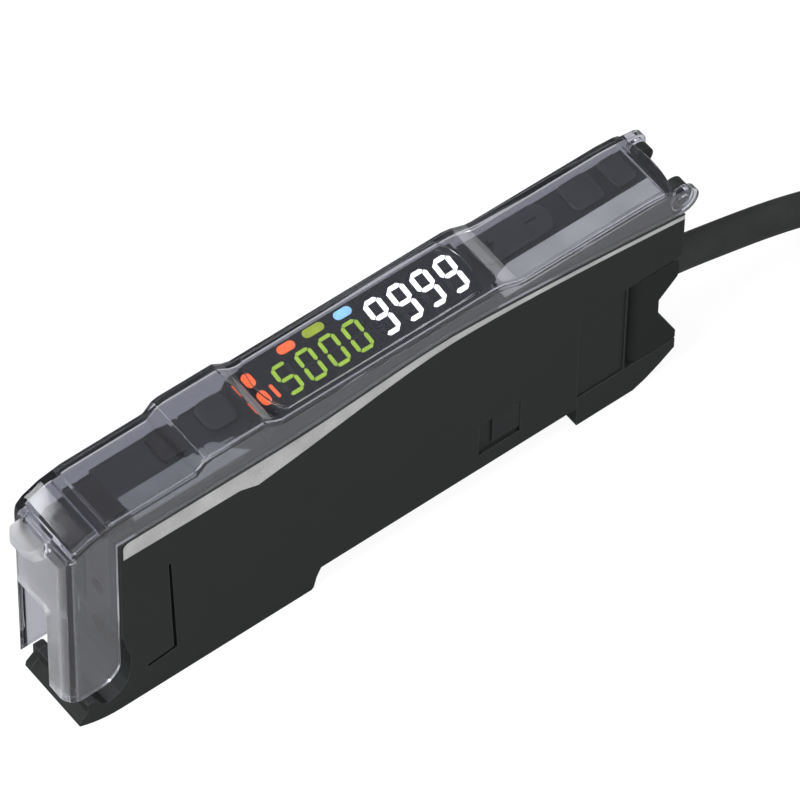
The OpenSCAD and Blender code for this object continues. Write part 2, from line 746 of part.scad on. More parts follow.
module tab_shape() {
  intersection() {
    slab(tab_y - tab_w / 2, tab_y + tab_w / 2)
      polygon([[leg_x0 + 1, case_h + 2.8], [tab_x + 0.4, case_h + 2.2], [tab_x, case_h + 1.6],
        [tab_x + 0.2, case_h + 0.9], [tab_x + 1.3, case_h + 0.2], [leg_x0 + 0.3, case_h - 0.4],
        [leg_x0 + 1, case_h - 0.4]]);
    translate([tab_x + tab_w * 0.7, tab_y, 0]) cylinder(h = case_h + 9, r = tab_w * 0.7);
  }
}

// Stiffening rib across the cover, under its front slope
module rib(x, l, z, h) {
  translate([x, -cover_in - 0.1, z]) cube([l, 2 * cover_in + 0.2, h]);
}

module protective_cover() {
  color([0.36, 0.36, 0.42, 0.4])
  translate([-mid_x, 0, 0])
  difference() {
    union() {
      difference() {
        union() {
          intersection() {
            loft([for (p = roof_all) ring(p[0], case_h + p[1], half, cover_edge, low_z(p[0]))]);
            linear_extrude(case_h + 20) cover_plan();
          }
          intersection() {
            slab(-half, half) leg_side(leg_x0 - 0.35, leg_z0);
            linear_extrude(case_h + 20) cover_plan();
          }
          translate([disp_mid, 0, case_h + cover_disp_rise - 0.2])
            linear_extrude(lens_t + 0.2) disp_plan(disp_l - 1.4, 2 * half - 2 * cover_edge - 0.6);
        }
        loft([for (p = room_all)
          ring(p[0], case_h + p[1] - cover_t, cover_in, cover_edge * 0.6, case_h - 12)]);
        translate([leg_x0 - 0.35 + cover_t, -cover_in, -1])
          cube([front_x - leg_x0 + 4, 2 * cover_in, case_h + 1.8]);
        translate([rear_x - 3.4, -cover_in, panel_z0 - 3])
          cube([5, 2 * cover_in, panel_rear_z + 0.9 - panel_z0 + 3]);
      }
      slab(cover_in, half) ear_side();
      slab(-half, -cover_in) ear_side();
      slab(lug_y1 + side_gap, half) hinge_boss();
      slab(-half, -lug_y1 - side_gap) hinge_boss();
      tab_shape();
      rib(leg_x0 + 0.9, 0.6, case_h + 1.3, 1);
      rib(front_x - 2.1, 1.2, case_h + cover_front_rise - 1.9, 1.2);
    }
    translate([leg_x0 - 3, -slot_near, -1])
      cube([4.5, slot_near + cover_in, slot_top + 1 - 0.8]);
    translate([leg_x0 - 3, -slot_near + 0.8, slot_top - 1])
      cube([4.5, slot_near + cover_in - 0.8, 1]);
    translate([leg_x0 - 3, -slot_near + 0.8, slot_top - 0.8]) rotate([0, 90, 0])
      cylinder(h = 4.5, r = 0.8);
    for (s = [-1, 1]) {
      translate([hinge_x, s * (lug_y0 + lug_y1) / 2, hinge_z]) rotate([90, 0, 0])
        cylinder(h = lug_y1 - lug_y0 + 0.5, r = lug_r + 0.35, center = true);
      translate([hinge_x, s * lug_y1, hinge_z]) rotate([-90 * s, 0, 0])
        cylinder(h = pin_l + 0.15, r = pin_r + pin_gap);
    }
  }
}

// Sliding latch under the rear, with a tee that runs in the case
module rail_latch() {
  latch_x1 = rear_x - 0.4;
  color([0.15, 0.16, 0.16])
  translate([-mid_x, 0, 0]) {
    slab(-half, half)
      polygon([[rail_w, 0], [rail_w + 8, 0], [rail_w + 9.7, 0.75], [rail_w + 11.7, 2],
        [latch_x1, latch_h - 1.6], [latch_x1, latch_h], [rail_w, latch_h]]);
    translate([tee_x0, -tee_neck, latch_h - 0.2])
      cube([tee_l, 2 * tee_neck, seam + 1]);
    translate([tee_x0, -tee_head, latch_h + seam + 0.55])
      cube([tee_l, 2 * tee_head, tee_t]);
  }
}

// Cable bush block at the rear with its notched back
module bush_plan() {
  r = 1.5;
  translate([bush_x0 + seam + r, -half]) square([20, 2 * half]);
  translate([bush_x0 + seam, -half + r]) square([20, 2 * (half - r)]);
  for (s = [-1, 1])
    translate([bush_x0 + seam + r, s * (half - r)]) circle(r);
}
module cable_bush() {
  bx1 = rear_x - 0.4;
  neck_x = rear_x - 3.05;
  color([0.2, 0.21, 0.21])
  translate([-mid_x, 0, 0])
  difference() {
    union() {
      intersection() {
        slab(-half, half)
          polygon([[bush_x0, latch_h + seam], [bx1, latch_h + seam], [bx1, latch_h + 1.6],
            [neck_x, cable_z - 1.25], [neck_x, cable_z + 1.25], [bx1 - 0.2, cable_z + 3.7],
            [bx1, cable_z + 4.2], [bx1, bush_z1 - 0.9], [bx1 - 0.7, bush_z1 - seam],
            [bush_x0, bush_z1 - seam]]);
        linear_extrude(bush_z1 + 5) bush_plan();
      }
      translate([cav_rear_x, -plug_half, cable_z - plug_h / 2])
        cube([bush_x0 - cav_rear_x + seam + 1, 2 * plug_half, plug_h]);
    }
    translate([cord_x0, 0, cable_z]) rotate([0, 90, 0])
      cylinder(h = 20, r = cable_d / 2 + 0.1);
  }
}
cord_x0 = rear_x - 5.5;

// Route of the cable to its hank, in the finished part's own frame
exit_x = cord_x0 - mid_x;
lie_z = cable_d / 2;
drop = cable_z - lie_z;
lead_l = 46;
route = [[0, 0, 1], [2, 0, 1], [4, 0, 0.99], [6, 0, 0.97], [8, 0, 0.93], [11, 0, 0.86], [14, 0, 0.78],
  [18, 0, 0.67], [22, 0, 0.55], [26, 0, 0.41], [30, -0.1, 0.26], [34, -0.4, 0.12], [38, -0.9, 0.04],
  [42, -1.5, 0.01], [lead_l, -2, 0]];
path = [for (p = route) [exit_x + p[0], p[1], lie_z + drop * p[2]]];
hank_in = 3 * cable_d - lie_z;
hank_out = hank_in + 2 * cable_d;
hank_h = 7 * cable_d;
hank_run = 43;
hank_x = exit_x + lead_l;
hank_y = -2 + lie_z - hank_out;
tail_x = hank_x + hank_run;
tail_l = 12;
module sweep(pts, r, sides) {
  n = len(pts);
  dirs = [for (i = [0:n - 1]) i == 0 || i == n - 1 ? [1, 0, 0]
    : (pts[i + 1] - pts[i - 1]) / norm(pts[i + 1] - pts[i - 1])];
  rings = [for (i = [0:n - 1]) for (j = [0:sides - 1])
    let (a = 360 * j / sides, u = [0, 1, 0], v = cross(dirs[i], u))
    pts[i] + r * (cos(a) * u + sin(a) * v)];
  faces = [for (i = [0:n - 2]) for (j = [0:sides - 1])
    [i * sides + j, i * sides + (j + 1) % sides, (i + 1) * sides + (j + 1) % sides, (i + 1) * sides + j]];
  polyhedron(points = rings, faces = concat(faces, [[for (j = [0:sides - 1]) sides - 1 - j]],
    [[for (j = [0:sides - 1]) (n - 1) * sides + j]]), convexity = 4);
}

module cable() {
  color([0.16, 0.16, 0.17]) sweep(path, cable_d / 2, 10);
}

// The spare length as a flat hank: two straight runs with round folds, held by a strap
module hank_outline(r) {
  translate([0, -r]) square([hank_run, 2 * r]);
  circle(r, $fn = 72);
  translate([hank_run, 0]) circle(r, $fn = 72);
}

module cable_hank() {
  color([0.16, 0.16, 0.17]) {
    translate([hank_x, hank_y, 0])
      linear_extrude(hank_h)
        difference() {
          hank_outline(hank_out);
          hank_outline(hank_in);
        }
    translate([tail_x, -2, lie_z]) rotate([0, 90, 0]) cylinder(h = tail_l, r = lie_z);
  }
}

strap_gap = 0.4;
strap_t = 0.8;
strap_l = 5;
module strap_block(grow, l, h) {
  translate([-l / 2, -hank_out - grow, 0]) cube([l, 2 * (hank_out + grow), h]);
}
module hank_tie() {
  color([0.08, 0.08, 0.08])
  translate([hank_x + hank_run / 2, hank_y, 0])
  difference() {
    strap_block(strap_gap + strap_t, strap_l, hank_h + strap_gap + strap_t);
    translate([0, 0, -1]) strap_block(strap_gap, strap_l + 2, hank_h + strap_gap + 1);
  }
}

// Stripped cores at the far end of the cable, in a ring out of the jacket's end
core_ring = core_d * 0.9;
module core(k) {
  a = 90 + 72 * k;
  translate([tail_x + tail_l, -2 + core_ring * cos(a), lie_z + core_ring * sin(a)])
    rotate([0, 90, 0]) cylinder(h = 14 - abs(k - 2), r = core_d / 2, $fn = 16);
}
module core_brown() {
  color([0.4, 0.22, 0.12]) core(0);
}
module core_blue() {
  color([0.1, 0.25, 0.65]) core(1);
}
module core_black() {
  color([0.06, 0.06, 0.06]) core(2);
}
module core_orange() {
  color([0.9, 0.45, 0.1]) core(3);
}
module core_pink() {
  color([0.9, 0.6, 0.65]) core(4);
}

case_body();
side_cover();
trim_band_near();
trim_band_far();
port_window_near();
port_window_far();
top_panel();
front_hood();
label_strip_front();
label_strip_rear();
display_window();
display_block();
big_digits();
small_digits();
output_lamps();
bar_lamp();
mode_lamp();
power_lamp();
status_lamp();
rocker_key();
mode_key();
contact_key();
tune_key();
key_board();
key_switches();
main_board();
board_chips();
fibre_block();
fibre_lock();
light_emitter();
light_receiver();
protective_cover();
rail_latch();
cable_bush();
cable();
cable_hank();
hank_tie();
core_brown();
core_blue();
core_black();
core_orange();
core_pink();
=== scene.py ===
"""Looks of a rail-mounted fibre sensor amplifier: smoked swing-up cover, lit digits and a tied cable."""

import math

import bpy
from mathutils import Matrix, Vector


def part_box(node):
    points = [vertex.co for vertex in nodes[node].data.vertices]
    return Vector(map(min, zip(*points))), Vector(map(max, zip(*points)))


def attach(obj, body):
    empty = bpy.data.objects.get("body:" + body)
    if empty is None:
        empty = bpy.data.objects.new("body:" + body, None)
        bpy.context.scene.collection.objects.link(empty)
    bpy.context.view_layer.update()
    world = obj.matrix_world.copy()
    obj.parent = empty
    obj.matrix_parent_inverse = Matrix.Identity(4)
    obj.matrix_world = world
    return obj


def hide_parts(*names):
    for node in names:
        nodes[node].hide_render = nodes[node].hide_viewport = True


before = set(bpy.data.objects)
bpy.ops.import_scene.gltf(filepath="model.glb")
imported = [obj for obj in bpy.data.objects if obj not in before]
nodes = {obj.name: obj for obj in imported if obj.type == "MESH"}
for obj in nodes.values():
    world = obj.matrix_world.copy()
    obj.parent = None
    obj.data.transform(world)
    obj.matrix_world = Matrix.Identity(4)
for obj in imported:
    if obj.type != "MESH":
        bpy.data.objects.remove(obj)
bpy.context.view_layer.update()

# One millimetre in metres, and the corners of a square in turn
MM = 0.001
SQUARE = ((-1, -1), (1, -1), (1, 1), (-1, 1))

# Camera: where the photograph was taken from, in the part's own frame, with angles in degrees
CAMERA_AT = (-312.46 * MM, -403.03 * MM, 724.53 * MM)
CAMERA_TURN = -38.387
CAMERA_HEIGHT_ANGLE = 54.005
CAMERA_ROLL = 1.0925
SENSOR = 36
LENS = 363.4
CLIP_NEAR = 0.01
CLIP_FAR = 20

# Cable: ROUTE runs from the bush to the hank, as millimetres along and aside and the share of height left
CABLE_D = 4 * MM
CABLE_R = CABLE_D / 2
EXIT_X = 36.4 * MM
EXIT_Z = 13 * MM
LEAD_L = 46
LEAD_SIDE = -2
ROUTE = [(0, 0, 1), (2, 0, 1), (4, 0, 0.99), (6, 0, 0.97), (8, 0, 0.93), (11, 0, 0.86), (14, 0, 0.78),
         (18, 0, 0.67), (22, 0, 0.55), (26, 0, 0.41), (30, -0.1, 0.26), (34, -0.4, 0.12),
         (38, -0.9, 0.04), (42, -1.5, 0.01), (LEAD_L, LEAD_SIDE, 0)]

# Hank of the cable: its straight runs, layers and folds, and the tail with its stripped cores
HANK_X = EXIT_X + LEAD_L * MM
HANK_RUN = 43 * MM
HANK_LAYERS = 7
FOLD_R = 3 * CABLE_D
HANK_Y = LEAD_SIDE * MM - FOLD_R - CABLE_D
TAIL_L = 12 * MM
RUN_STEPS = 6
FOLD_STEPS = 8
CORES = {"brown": (0.16, 0.06, 0.03), "blue": (0.02, 0.07, 0.4), "black": (0.012, 0.012, 0.012),
         "orange": (0.75, 0.2, 0.02), "pink": (0.8, 0.35, 0.42)}

# Mark on the near side, in millimetres: its engraved corners along and up, and which way the black fill of
# painted shade is set in
SHADE_FILL_GAP = 0.03
MARK_X = -28
MARK_TOP = 21.3
MARK_CORNERS = [((0, MARK_TOP), (1, -1)), ((0.35, MARK_TOP), (-1, -1)), ((0.95, 5.2), (-1, 1)),
                ((-3, 4.7), (1, 1)), ((-3, 5.15), (1, -1)), ((0.5, 5.6), (1, -1))]
MARK_FACE_Y = -4.96
MARK_FLOOR_Y = -4.81

# Signs on the rocker key, in millimetres: their place from its middle, half sizes and depths under its top
SIGN_X = 2.85
SIGN_Y = 0.2
SIGN_HALF_L = 0.73
SIGN_HALF_W = 0.14
SIGN_FACE = 0.03
SIGN_FLOOR = 0.11

# Readouts: pitch and lean of the digits, middle of each first digit, and the bars that stay dark
DIGIT_PITCH = 3.1 * MM
DIGIT_LEAN = 0.078
MIDDLE_REACH = 0.3 * MM
BIG_X = 4.15 * MM
BIG_Y = 0
SMALL_X = -8.8 * MM
SMALL_Y = -0.5 * MM
NINES = [{"lower_left"}] * 4
FIVE_THOUSAND = [{"upper_right", "lower_left"}] + [{"middle"}] * 3

# Cover: colour of the smoked plastic, and the frosted tab in front of TAB_X, tinted almost clear as painted
# light
SMOKE = (0.465, 0.47, 0.52)
SMOKE_CLEARNESS = 0.985
SMOKE_IOR = 1.5
SMOKE_EDGE = 0.15 * MM
SHADOW_TINT = (0.85, 0.85, 0.88)
TAB_PAINTED_LIGHT_TINT = (0.99, 0.99, 1.0)
TAB_FROST = 0.65
TAB_X = -41.6 * MM
TAB_FADE = 0.3 * MM

# Studio floor: how it looks when seen or mirrored, and the dimmer face that lights the object
FLOOR_REACH = 3
FLOOR_Z = -0.2 * MM
FLOOR_PAPER = (0.86, 0.86, 0.86)
FLOOR_DIM = (0.3, 0.3, 0.3)
FLOOR_WHITE = 1.15
FLOOR_GLOW = 0.75
FLOOR_MIRRORED = 0.28

# Studio light: the sky as light and in reflections, and each soft box's name, place, size and power
WORLD_LEVEL = 0.35
MIRRORED_LEVEL = 0.09
SOFT_BOXES = [("front_box", (-0.65, 0.0, 0.7), 0.4, 6.5), ("slope_box", (-0.45, 0.45, 0.7), 0.12, 0.45),
              ("key_box", (-0.15, -0.75, 0.65), 0.7, 5.5), ("rim_box", (0.9, 0.48, 0.16), 0.3, 0.5)]

# Node groups: kinds of socket, the colour that they start from, and the range that most noise keeps to
COLOR = "NodeSocketColor"
FLOAT = "NodeSocketFloat"
VECTOR = "NodeSocketVector"
DARK = (0.03, 0.03, 0.03, 1)
NOISE_RANGE = (0.3, 0.7)


def photo_camera():
    """The camera at the photograph's place, level apart from the photograph's small roll."""
    turn, rise, roll = (math.radians(a) for a in (CAMERA_TURN, CAMERA_HEIGHT_ANGLE, CAMERA_ROLL))
    back = Vector((math.sin(turn) * math.cos(rise), -math.cos(turn) * math.cos(rise), math.sin(rise)))
    level = Vector((math.cos(turn), math.sin(turn), 0))
    right = level * math.cos(roll) + back.cross(level) * math.sin(roll)
    up = back.cross(right)
    data = bpy.data.cameras.new("photo_camera")
    data.sensor_width = SENSOR
    data.lens = LENS
    data.clip_start = CLIP_NEAR
    data.clip_end = CLIP_FAR
    camera = add_piece("photo_camera", data)
    camera.matrix_world = Matrix((right, up, back)).transposed().to_4x4()
    camera.location = CAMERA_AT
    bpy.context.scene.camera = camera


def add_piece(name, data):
    """A new object in the scene: a piece, a lamp or the camera."""
    piece = bpy.data.objects.new(name, data)
    bpy.context.scene.collection.objects.link(piece)
    return piece


def hank_slots():
    """The slot (column from outside, layer) that each run ends in: up the inner column, down the outer."""
    slots = [(1, 0)]
    for layer in range(1, HANK_LAYERS):
        slots += [(1, layer), (1, layer)]
    slots[-1] = (0, HANK_LAYERS - 1)
    for layer in range(HANK_LAYERS - 2, 0, -1):
        slots += [(0, layer), (0, layer)]
    slots[-1] = (0, 0)
    return slots


def hank_points():
    """Runs and folds in turn, clockwise from above; a run eases across to the next slot on its way."""
    points = []
    old = (0, 0)
    slots = hank_slots()
    for turn, new in enumerate(slots):
        east = turn % 2 == 0
        first, last = turn == 0, turn == len(slots) - 1
        begin, end = (0, 0.5) if first else (0.5, 1) if last else (0, 1)
        for step in range(1, RUN_STEPS + 1):
            share = step / RUN_STEPS
            t = min(1, max(0, (share - begin) / (end - begin)))
            eased = t * t * (3 - 2 * t)
            column, layer = (a + (b - a) * eased for a, b in zip(old, new))
            side = (FOLD_R + (1 - column) * CABLE_D) * (1 if east else -1)
            along = share if east else 1 - share
            points.append((HANK_X + HANK_RUN * along, HANK_Y + side, CABLE_R + layer * CABLE_D))
        old = new
        if last:
            break
        radius = FOLD_R + (1 - new[0]) * CABLE_D
        for step in range(1, FOLD_STEPS):
            angle = math.pi * step / FOLD_STEPS + (0 if east else math.pi)
            points.append((HANK_X + (HANK_RUN if east else 0) + radius * math.sin(angle),
                           HANK_Y + radius * math.cos(angle), CABLE_R + new[1] * CABLE_D))
    return points


def cable_points():
    lead = [(EXIT_X + x * MM, y * MM, CABLE_R + (EXIT_Z - CABLE_R) * share) for x, y, share in ROUTE]
    turns = hank_points()
    end_x, end_y, end_z = turns[-1]
    tail = [(end_x + TAIL_L * share, end_y, end_z) for share in (0.5, 1)]
    return lead + turns + tail


def cable_cord(material):
    """The whole cable as one curve: lead, hank and the tail that its stripped cores come out of."""
    points = cable_points()
    data = bpy.data.curves.new("cable_cord", "CURVE")
    data.dimensions = "3D"
    data.bevel_depth = CABLE_R
    data.bevel_resolution = 4
    data.resolution_u = 3
    data.use_fill_caps = True
    spline = data.splines.new("BEZIER")
    spline.bezier_points.add(len(points) - 1)
    for knot, point in zip(spline.bezier_points, points):
        knot.co = point
        knot.handle_left_type = knot.handle_right_type = "AUTO"
    data.materials.append(material)
    cord = add_piece("cable_cord", data)
    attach(cord, "amplifier")
    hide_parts("cable", "cable_hank")


def fill(tree, node, sockets):
    """Fills a node's inputs with plain values or with other nodes' outputs."""
    for name, value in sockets.items():
        if isinstance(value, bpy.types.NodeSocket):
            tree.links.new(value, node.inputs[name])
        else:
            node.inputs[name].default_value = value


def put(tree, kind, sockets=None, **settings):
    """Adds a node, sets its settings and fills its inputs."""
    node = tree.nodes.new(kind)
    for name, value in settings.items():
        setattr(node, name, value)
    fill(tree, node, sockets or {})
    return node


def place_on(tree):
    """Where a point lies on its piece, so that a pattern keeps its real size and moves with the piece."""
    return put(tree, "ShaderNodeTexCoord").outputs["Object"]


def noise(tree, place, scale, detail):
    return put(tree, "ShaderNodeTexNoise", {"Vector": place, "Scale": scale, "Detail": detail}).outputs[0]


def remap(tree, value, source, target=(0, 1)):
    """A value carried over from one range to another."""
    return put(tree, "ShaderNodeMapRange", {"Value": value, "From Min": source[0], "From Max": source[1],
                                            "To Min": target[0], "To Max": target[1]}).outputs[0]


def reckon(tree, operation, *values, **settings):
    return put(tree, "ShaderNodeMath", dict(enumerate(values)), operation=operation, **settings).outputs[0]


def scaled(tree, color, factor):
    return put(tree, "ShaderNodeVectorMath", {0: color, "Scale": factor}, operation="SCALE").outputs[0]


def mix_color(tree, mask, first, second):
    """Two colours by a mask; a Mix node's colours share their names with its numbers, so they go by place."""
    return put(tree, "ShaderNodeMix", {0: mask, 6: first, 7: second}, data_type="RGBA").outputs[2]


def mix_shader(tree, mask, first, second):
    return put(tree, "ShaderNodeMixShader", {0: mask, 1: first, 2: second}).outputs[0]


def new_group(name, inputs, outputs):
    tree = bpy.data.node_groups.new(name, "ShaderNodeTree")
    for label, kind, value in inputs:
        tree.interface.new_socket(name=label, in_out="INPUT", socket_type=kind).default_value = value
    for label, kind in outputs:
        tree.interface.new_socket(name=label, in_out="OUTPUT", socket_type=kind)
    return tree, tree.nodes.new("NodeGroupInput").outputs, tree.nodes.new("NodeGroupOutput")


def placed(tree, group, sockets=None):
    """A group set into a material with its own values; gives the group's outputs."""
    return put(tree, "ShaderNodeGroup", sockets, node_tree=group).outputs


def moulded_grain_group():
    """Spark-eroded mould texture: fine pits for the bump, slow clouds in colour and gloss."""
    tree, given, out = new_group(
        "moulded_grain",
        [("Color", COLOR, DARK), ("Roughness", FLOAT, 0.5), ("Pits per Metre", FLOAT, 5000)],
        [("Color", COLOR), ("Roughness", FLOAT), ("Height", FLOAT)])
    place = place_on(tree)
    pits = noise(tree, place, scale=given["Pits per Metre"], detail=2)
    clouds = noise(tree, place, scale=240, detail=4)
    shade = remap(tree, clouds, NOISE_RANGE, (0.86, 1.14))
    swing = remap(tree, clouds, NOISE_RANGE, (-0.07, 0.07))
    fill(tree, out, {"Color": scaled(tree, given["Color"], shade),
                     "Roughness": reckon(tree, "ADD", given["Roughness"], swing), "Height": pits})
    return tree


def rubbed_and_highlit_edges_group():
    """Edges: a softened normal, and a paler colour along the edge, partly rubbed wear and partly a painted
    highlight.
    """
    tree, given, out = new_group(
        "rubbed_and_highlit_edges",
        [("Color", COLOR, DARK), ("Wear and Highlight Color", COLOR, (0.08, 0.08, 0.08, 1)), ("Radius", FLOAT, 0.2 * MM)],
        [("Color", COLOR), ("Normal", VECTOR)])
    soft = put(tree, "ShaderNodeBevel", {"Radius": given["Radius"]}, samples=4).outputs[0]
    face = put(tree, "ShaderNodeNewGeometry").outputs["Normal"]
    turn = put(tree, "ShaderNodeVectorMath", {0: soft, 1: face}, operation="DOT_PRODUCT").outputs["Value"]
    edge = remap(tree, turn, (0.99, 0.8))
    patches = noise(tree, place_on(tree), scale=420, detail=5)
    # paler edges: rubbed wear and painted highlight
    mask = reckon(tree, "MULTIPLY", edge, patches)
    fill(tree, out, {"Color": mix_color(tree, mask, given["Color"], given["Wear and Highlight Color"]), "Normal": soft})
    return tree


def painted_recess_shade_group():
    """Painted shade in grooves, seams and inner corners, which are darkened where less light gathers."""
    tree, given, out = new_group(
        "painted_recess_shade",
        [("Color", COLOR, DARK), ("Painted Shade Color", COLOR, (0.002, 0.002, 0.002, 1)),
         ("Reach", FLOAT, 0.6 * MM)], [("Color", COLOR)])
    sky = put(tree, "ShaderNodeAmbientOcclusion", {"Distance": given["Reach"]}, samples=6, only_local=True)
    depth = remap(tree, sky.outputs["AO"], (0.85, 0.35))
    fill(tree, out, {"Color": mix_color(tree, depth, given["Color"], given["Painted Shade Color"])})
    return tree


def wiped_gloss_group():
    """A polished face that a cloth has wiped: long faint streaks in the gloss and the surface."""
    tree, given, out = new_group("wiped_gloss", [("Roughness", FLOAT, 0.06)],
                                 [("Roughness", FLOAT), ("Height", FLOAT)])
    drawn_out = put(tree, "ShaderNodeMapping", {"Vector": place_on(tree), "Scale": (120, 900, 300),
                                                "Rotation": (0, 0, 0.4)}).outputs[0]
    streaks = noise(tree, drawn_out, scale=1, detail=5)
    swing = remap(tree, streaks, (0.35, 0.7), (0.7, 1.5))
    fill(tree, out, {"Roughness": reckon(tree, "MULTIPLY", given["Roughness"], swing), "Height": streaks})
    return tree


def settled_dust_group():
    """A thin film of dust on faces that look up, thicker in patches."""
    tree, given, out = new_group(
        "settled_dust",
        [("Color", COLOR, DARK), ("Dust Color", COLOR, (0.2, 0.19, 0.18, 1)), ("Amount", FLOAT, 0.1)],
        [("Color", COLOR)])
    face = put(tree, "ShaderNodeNewGeometry").outputs["Normal"]
    rise = put(tree, "ShaderNodeSeparateXYZ", {0: face}).outputs["Z"]
    patches = noise(tree, place_on(tree), scale=700, detail=6)
    film = reckon(tree, "MULTIPLY", remap(tree, rise, (0.2, 1)), patches)
    mask = reckon(tree, "MULTIPLY", film, given["Amount"])
    fill(tree, out, {"Color": mix_color(tree, mask, given["Color"], given["Dust Color"])})
    return tree


GRAIN = moulded_grain_group()
EDGES = rubbed_and_highlit_edges_group()
RECESS_SHADE = painted_recess_shade_group()
WIPED = wiped_gloss_group()
DUST = settled_dust_group()


def finish_of(name):
    """A new material with its tree and its shader."""
    material = bpy.data.materials.new(name)
    material.use_nodes = True
    return material, material.node_tree, material.node_tree.nodes["Principled BSDF"]


def tint(*rgb):
    return (*rgb, 1)


def moulding(name, color, wear_and_highlight, roughness=0.45, gloss=0.2, pits=5000, depth=0.03, edge=0.2, dust=0.06):
    """A moulded plastic: grain, softened edges paler from rubbing and as a painted highlight, painted shade
    in recesses and a little dust on top.
    """
    material, tree, shader = finish_of(name)
    grain = placed(tree, GRAIN, {"Color": tint(*color), "Roughness": roughness, "Pits per Metre": pits})
    edges = placed(tree, EDGES, {"Color": grain["Color"], "Wear and Highlight Color": tint(*wear_and_highlight), "Radius": edge * MM})
    # painted shade: recesses and seams darkened
    shaded = placed(tree, RECESS_SHADE, {"Color": edges["Color"]})
    film = placed(tree, DUST, {"Color": shaded["Color"], "Amount": dust})
    bump = put(tree, "ShaderNodeBump", {"Height": grain["Height"], "Normal": edges["Normal"],
                                        "Strength": 0.5, "Distance": depth * MM})
    fill(tree, shader, {"Base Color": film["Color"], "Roughness": grain["Roughness"],
                        "Normal": bump.outputs["Normal"], "Specular IOR Level": gloss})
    return material


def polished_pane(name, color, roughness, gloss):
    """A near-black window: deep colour under a wiped, glossy face."""
    material, tree, shader = finish_of(name)
    grain = placed(tree, GRAIN, {"Color": tint(*color)})
    wiped = placed(tree, WIPED, {"Roughness": roughness})
    bump = put(tree, "ShaderNodeBump", {"Height": wiped["Height"], "Strength": 0.1, "Distance": 0.005 * MM})
    fill(tree, shader, {"Base Color": grain["Color"], "Roughness": wiped["Roughness"],
                        "Normal": bump.outputs["Normal"], "Specular IOR Level": gloss})
    return material


def silver_band():
    """Silver paint: fine flakes that glint, over a satin coat."""
    material, tree, shader = finish_of("silver_band")
    flakes = put(tree, "ShaderNodeTexVoronoi", {"Vector": place_on(tree), "Scale": 9000}).outputs["Color"]
    glint = remap(tree, flakes, (0, 1), (0.48, 0.68))
    grain = placed(tree, GRAIN, {"Color": glint, "Roughness": 0.36})
    edges = placed(tree, EDGES, {"Color": grain["Color"], "Wear and Highlight Color": tint(0.75, 0.76, 0.77),
                                 "Radius": 0.12 * MM})
    fill(tree, shader, {"Base Color": edges["Color"], "Roughness": grain["Roughness"],
                        "Normal": edges["Normal"], "Metallic": 0.25})
    return material


def label_film(name, pale, deep):
    """Printed film: a fine dot screen in the ink under a dull face."""
    material, tree, shader = finish_of(name)
    dots = put(tree, "ShaderNodeTexVoronoi", {"Vector": place_on(tree), "Scale": 6000, "Randomness": 0.1})
    ink = put(tree, "ShaderNodeValToRGB", {"Fac": dots.outputs["Distance"]})
    for stop, color in zip(ink.color_ramp.elements, (deep, pale)):
        stop.color = tint(*color)
    grain = placed(tree, GRAIN, {"Color": ink.outputs[0]})
    fill(tree, shader, {"Base Color": grain["Color"], "Roughness": grain["Roughness"],
                        "Specular IOR Level": 0.2})
    return material


def lit(name, color, strength):
    """A lit bar or lamp: a little uneven, as light through a diffuser is."""
    material, tree, shader = finish_of(name)
    clouds = noise(tree, place_on(tree), scale=1500, detail=2)
    glow = scaled(tree, color, remap(tree, clouds, NOISE_RANGE, (0.88, 1.08)))
    fill(tree, shader, {"Emission Color": glow, "Base Color": glow, "Emission Strength": strength,
                        "Roughness": 0.4})
    return material


def smoked_cover():
    """Smoked clear plastic: wiped outside, frosted on the thumb tab and tinted almost clear there as painted
    light; light still reaches what it covers.
    """
    material, tree, shader = finish_of("smoked_cover")
    along = put(tree, "ShaderNodeSeparateXYZ", {0: place_on(tree)}).outputs["X"]
    frost_and_painted_light = remap(tree, along, (TAB_X + TAB_FADE, TAB_X))
    wiped = placed(tree, WIPED, {"Roughness": 0.03})
    rough = put(tree, "ShaderNodeMix", {0: frost_and_painted_light, 2: wiped["Roughness"], 3: TAB_FROST}).outputs[0]
    edges = placed(tree, EDGES, {"Radius": SMOKE_EDGE})
    # the tab's almost clear tint is painted light
    fill(tree, shader, {"Base Color": mix_color(tree, frost_and_painted_light, tint(*SMOKE), tint(*TAB_PAINTED_LIGHT_TINT)),
                        "Roughness": rough, "Normal": edges["Normal"],
                        "Transmission Weight": SMOKE_CLEARNESS, "IOR": SMOKE_IOR})
    clear = put(tree, "ShaderNodeBsdfTransparent", {"Color": tint(*SHADOW_TINT)})
    shadow = put(tree, "ShaderNodeLightPath").outputs["Is Shadow Ray"]
    surface = mix_shader(tree, shadow, shader.outputs[0], clear.outputs[0])
    fill(tree, tree.nodes["Material Output"], {"Surface": surface})
    return material


def circuit_board():
    """Solder mask over copper: tracks show as paler lines in the green."""
    material, tree, shader = finish_of("circuit_board")
    tracks = put(tree, "ShaderNodeTexBrick", {
        "Vector": place_on(tree), "Scale": 500, "Color1": tint(0.012, 0.09, 0.03),
        "Color2": tint(0.016, 0.11, 0.035), "Mortar": tint(0.05, 0.2, 0.07), "Mortar Size": 0.04})
    grain = placed(tree, GRAIN, {"Color": tracks.outputs[0], "Roughness": 0.3})
    fill(tree, shader, {"Base Color": grain["Color"], "Roughness": grain["Roughness"]})
    return material


def resin_can(name, color, clearness):
    """Cast resin of a lamp or sensor can."""
    material, tree, shader = finish_of(name)
    grain = placed(tree, GRAIN, {"Color": tint(*color)})
    wiped = placed(tree, WIPED)
    fill(tree, shader, {"Base Color": grain["Color"], "Roughness": wiped["Roughness"],
                        "Transmission Weight": clearness})
    return material


def dress(material, *names):
    for name in names:
        nodes[name].data.materials.clear()
        nodes[name].data.materials.append(material)


